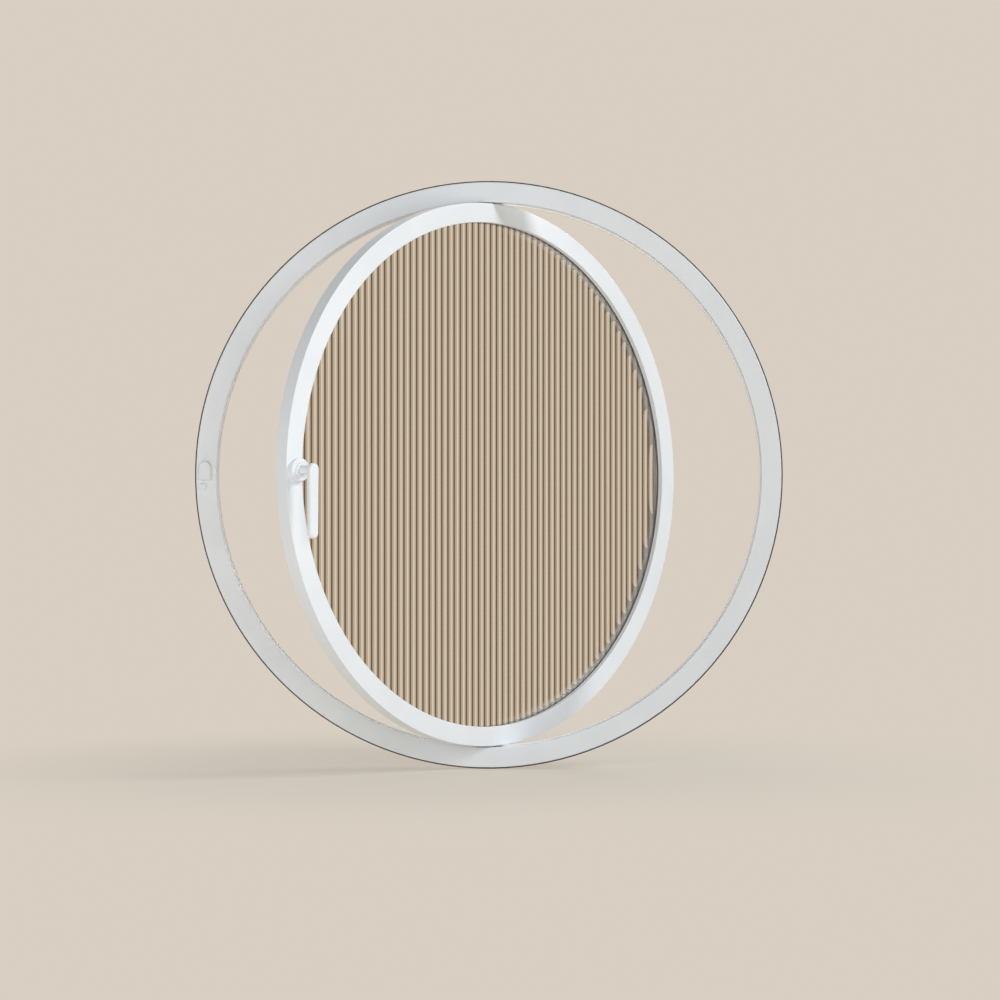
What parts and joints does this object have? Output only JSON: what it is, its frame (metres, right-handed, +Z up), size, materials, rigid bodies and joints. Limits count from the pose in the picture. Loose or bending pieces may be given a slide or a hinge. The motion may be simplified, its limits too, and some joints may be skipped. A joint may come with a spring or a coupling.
{
  "type": "round pivot window",
  "caption": "Round window with a ring frame and a fluted glass sash that turns on upright centre pivots, with a lever handle that throws a bolt.",
  "frame": {"origin": "centre of the round frame on the upright pivot axis, 14 mm behind the frame's front face", "axes": "+Z up along the pivot axis, +Y through the opening away from the handle's side, +X to the right seen from that side"},
  "size_m": [1.0046, 0.6962, 1.0046],
  "materials": {
    "white_coat": "satin white powder coat",
    "fluted_glass": "clear, upright flutes on the front face",
    "black_rubber": "matte, dark grey",
    "grey_rubber": "matte, light grey",
    "pile": "woven pile, white",
    "block_plastic": "matte",
    "bearing_plastic": "smooth, self-lubricating",
    "plain_aluminium": "mill finish",
    "cast_zinc": "as cast",
    "steel": "bright zinc plated"
  },
  "bodies": {
    "frame": {"outer_frame": "white_coat", "perimeter_gasket": "black_rubber", "pile_seal": "pile", "keeper": "white_coat", "keeper_screw": "steel", "strike_block": "steel", "top_pivot_block": "plain_aluminium", "bottom_pivot_block": "plain_aluminium", "top_pivot_pin": "steel", "bottom_pivot_pin": "steel", "pivot_block_screws": "steel", "bottom_thrust_washer": "bearing_plastic"},
    "sash": {"sash_frame": "white_coat", "glass_pane": "fluted_glass", "front_glazing_gasket": "grey_rubber", "rear_glazing_gasket": "grey_rubber", "glazing_bead": "white_coat", "setting_blocks": "block_plastic", "top_sash_block": "plain_aluminium", "bottom_sash_block": "plain_aluminium", "sash_block_screws": "steel", "top_pivot_bush": "bearing_plastic", "bottom_pivot_bush": "bearing_plastic", "top_thrust_washer": "bearing_plastic", "lock_case": "cast_zinc", "lock_cover": "steel", "lock_rivets": "steel", "handle_base": "cast_zinc", "handle_cover": "white_coat", "handle_screws": "steel"},
    "handle": {"lever": "white_coat", "lever_retaining_ring": "steel", "lever_grub_screw": "steel", "spindle": "steel", "lock_pinion": "steel"},
    "bolt": {"lock_bolt": "steel"}
  },
  "joints": [
    {"name": "sash_pivot", "type": "hinge", "parent": "frame", "child": "sash", "pos_m": [0, 0, 0], "axis": [0, 0, 1], "range_deg": [-45.1, 44.9]},
    {"name": "lever_turn", "type": "hinge", "parent": "sash", "child": "handle", "pos_m": [-0.29039, -0.33391, 0.001], "axis": [0.7083, -0.7059, 0], "range_deg": [0, 90]},
    {"name": "bolt_throw", "type": "slide", "parent": "sash", "child": "bolt", "axis": [-0.7059, -0.7083, 0], "range_m": [0, 0.01069]}
  ],
  "couplings": [
    {"joint": "bolt_throw", "follows": "lever_turn", "m_per_rad": 0.0068}
  ]
}
